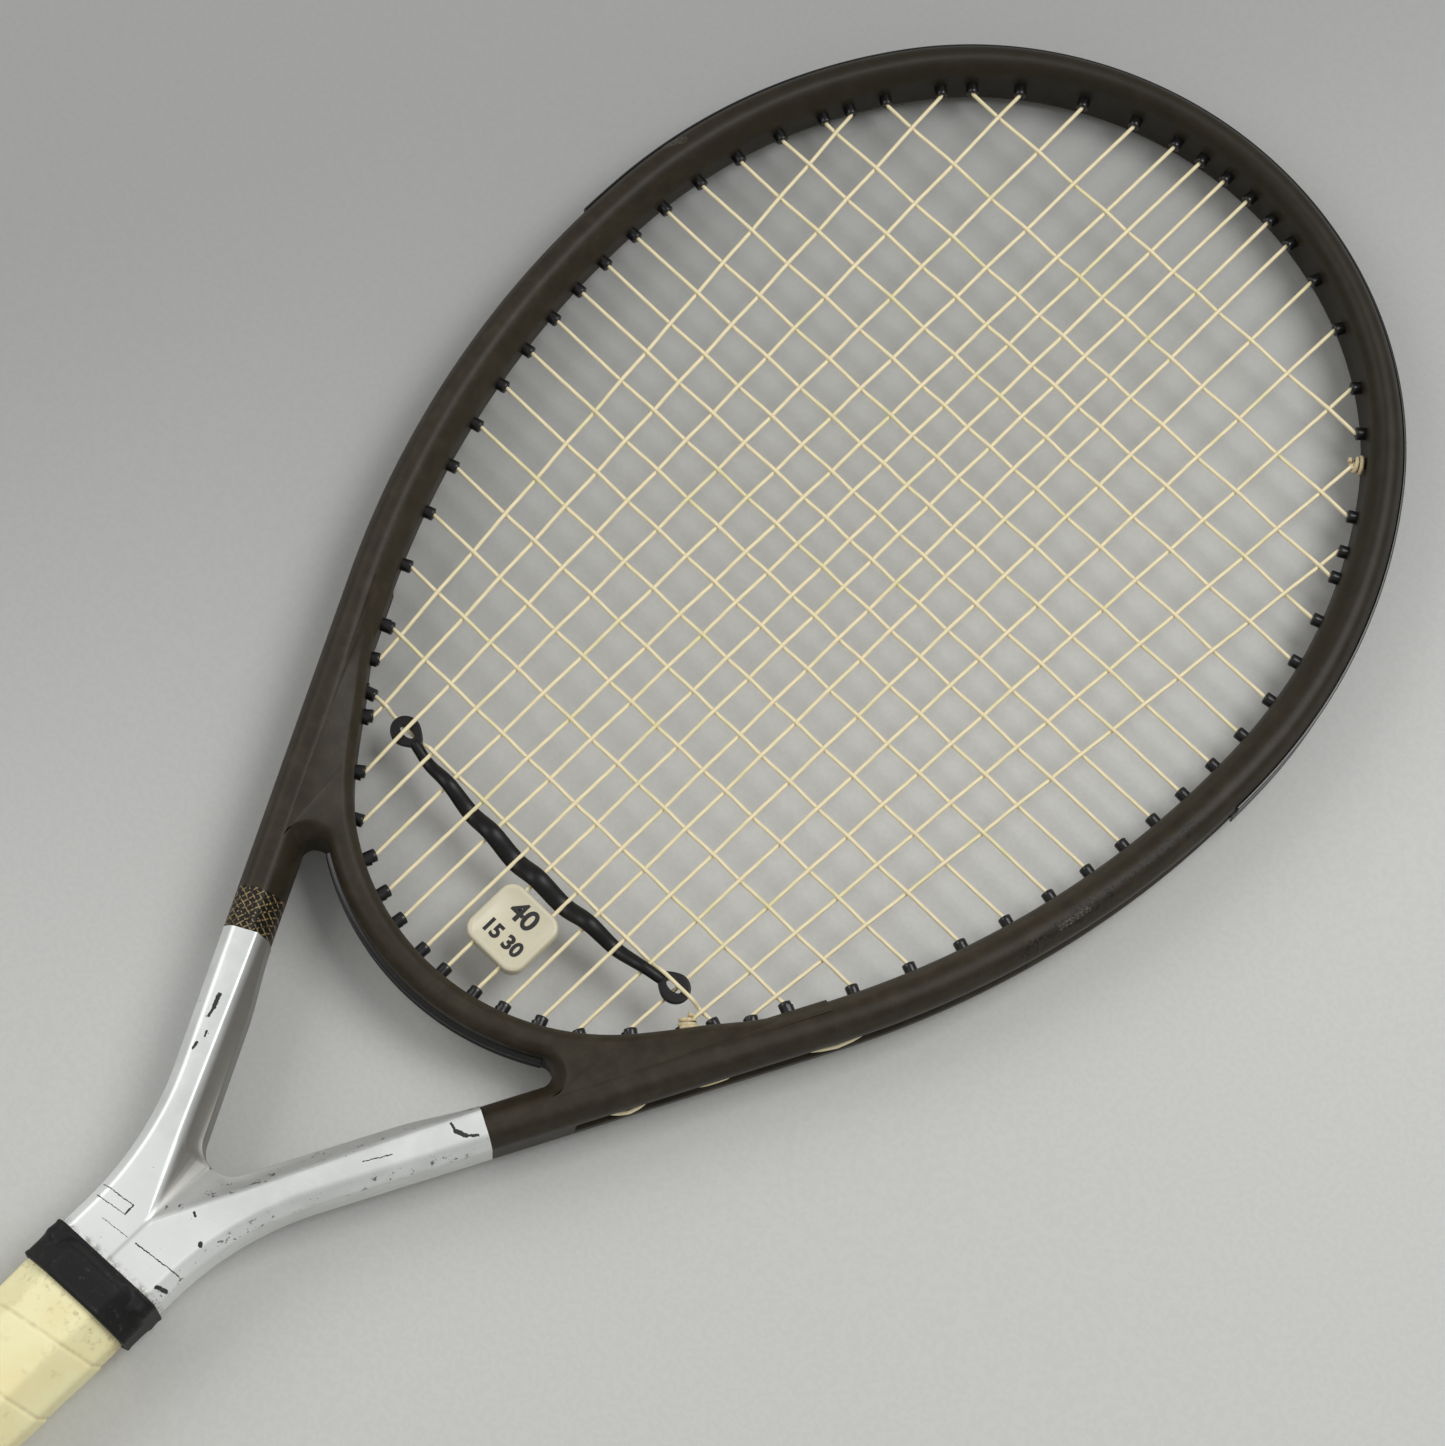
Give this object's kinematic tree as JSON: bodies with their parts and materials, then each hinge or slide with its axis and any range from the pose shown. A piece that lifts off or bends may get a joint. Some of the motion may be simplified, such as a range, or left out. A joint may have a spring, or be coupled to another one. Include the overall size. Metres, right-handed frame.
{
  "type": "tennis racket",
  "caption": "Oversize tennis racket with a strung egg-shaped head, open throat, wound leather grip, string dampener and a small serve tile on the strings.",
  "frame": {"origin": "centre of the butt end face, on the string plane", "axes": "+Y from the butt to the tip, +X across the face, +Z square to the strings; z = 0 is the string plane"},
  "size_m": [0.2802, 0.6985, 0.0377],
  "materials": {
    "brown_laminate": "satin lacquer over a laminate",
    "silver_laminate": "metallic paint, chipped at the edges",
    "bare_laminate": "bare laminate",
    "black_nylon": "moulded nylon",
    "string": "twisted multifilament, waxed",
    "black_rubber": "matt",
    "cream_plastic": "moulded",
    "handle_foam": "moulded foam, matt",
    "grip_leather": "smooth, soiled along the seams",
    "tape": "adhesive tape",
    "black_plastic": "moulded",
    "steel": "bright wire"
  },
  "bodies": {
    "racket": {"head_hoop": "brown_laminate", "throat_bridge": "brown_laminate", "throat_yoke": "silver_laminate", "shaft_tubes": "bare_laminate", "bumper_guard": "black_nylon", "grommet_strip_left": "black_nylon", "grommet_strip_right": "black_nylon", "grommet_strip_throat": "black_nylon", "string": "string", "tie_off_knots": "string", "string_dampener": "black_rubber", "handle_pallet": "handle_foam", "grip_wrap": "grip_leather", "finishing_tape": "tape", "grip_collar": "black_rubber", "butt_cap": "black_plastic", "butt_staples": "steel"},
    "tile": {"serve_tile": "cream_plastic"},
    "door": {"butt_door": "black_plastic"}
  },
  "joints": [
    {"name": "tile_slide", "type": "slide", "parent": "racket", "child": "tile", "axis": [0, 1, 0], "range_m": [-0.008, 0.001]},
    {"name": "door_pull", "type": "slide", "parent": "racket", "child": "door", "axis": [0, -1, 0], "range_m": [0, 0.012]}
  ]
}
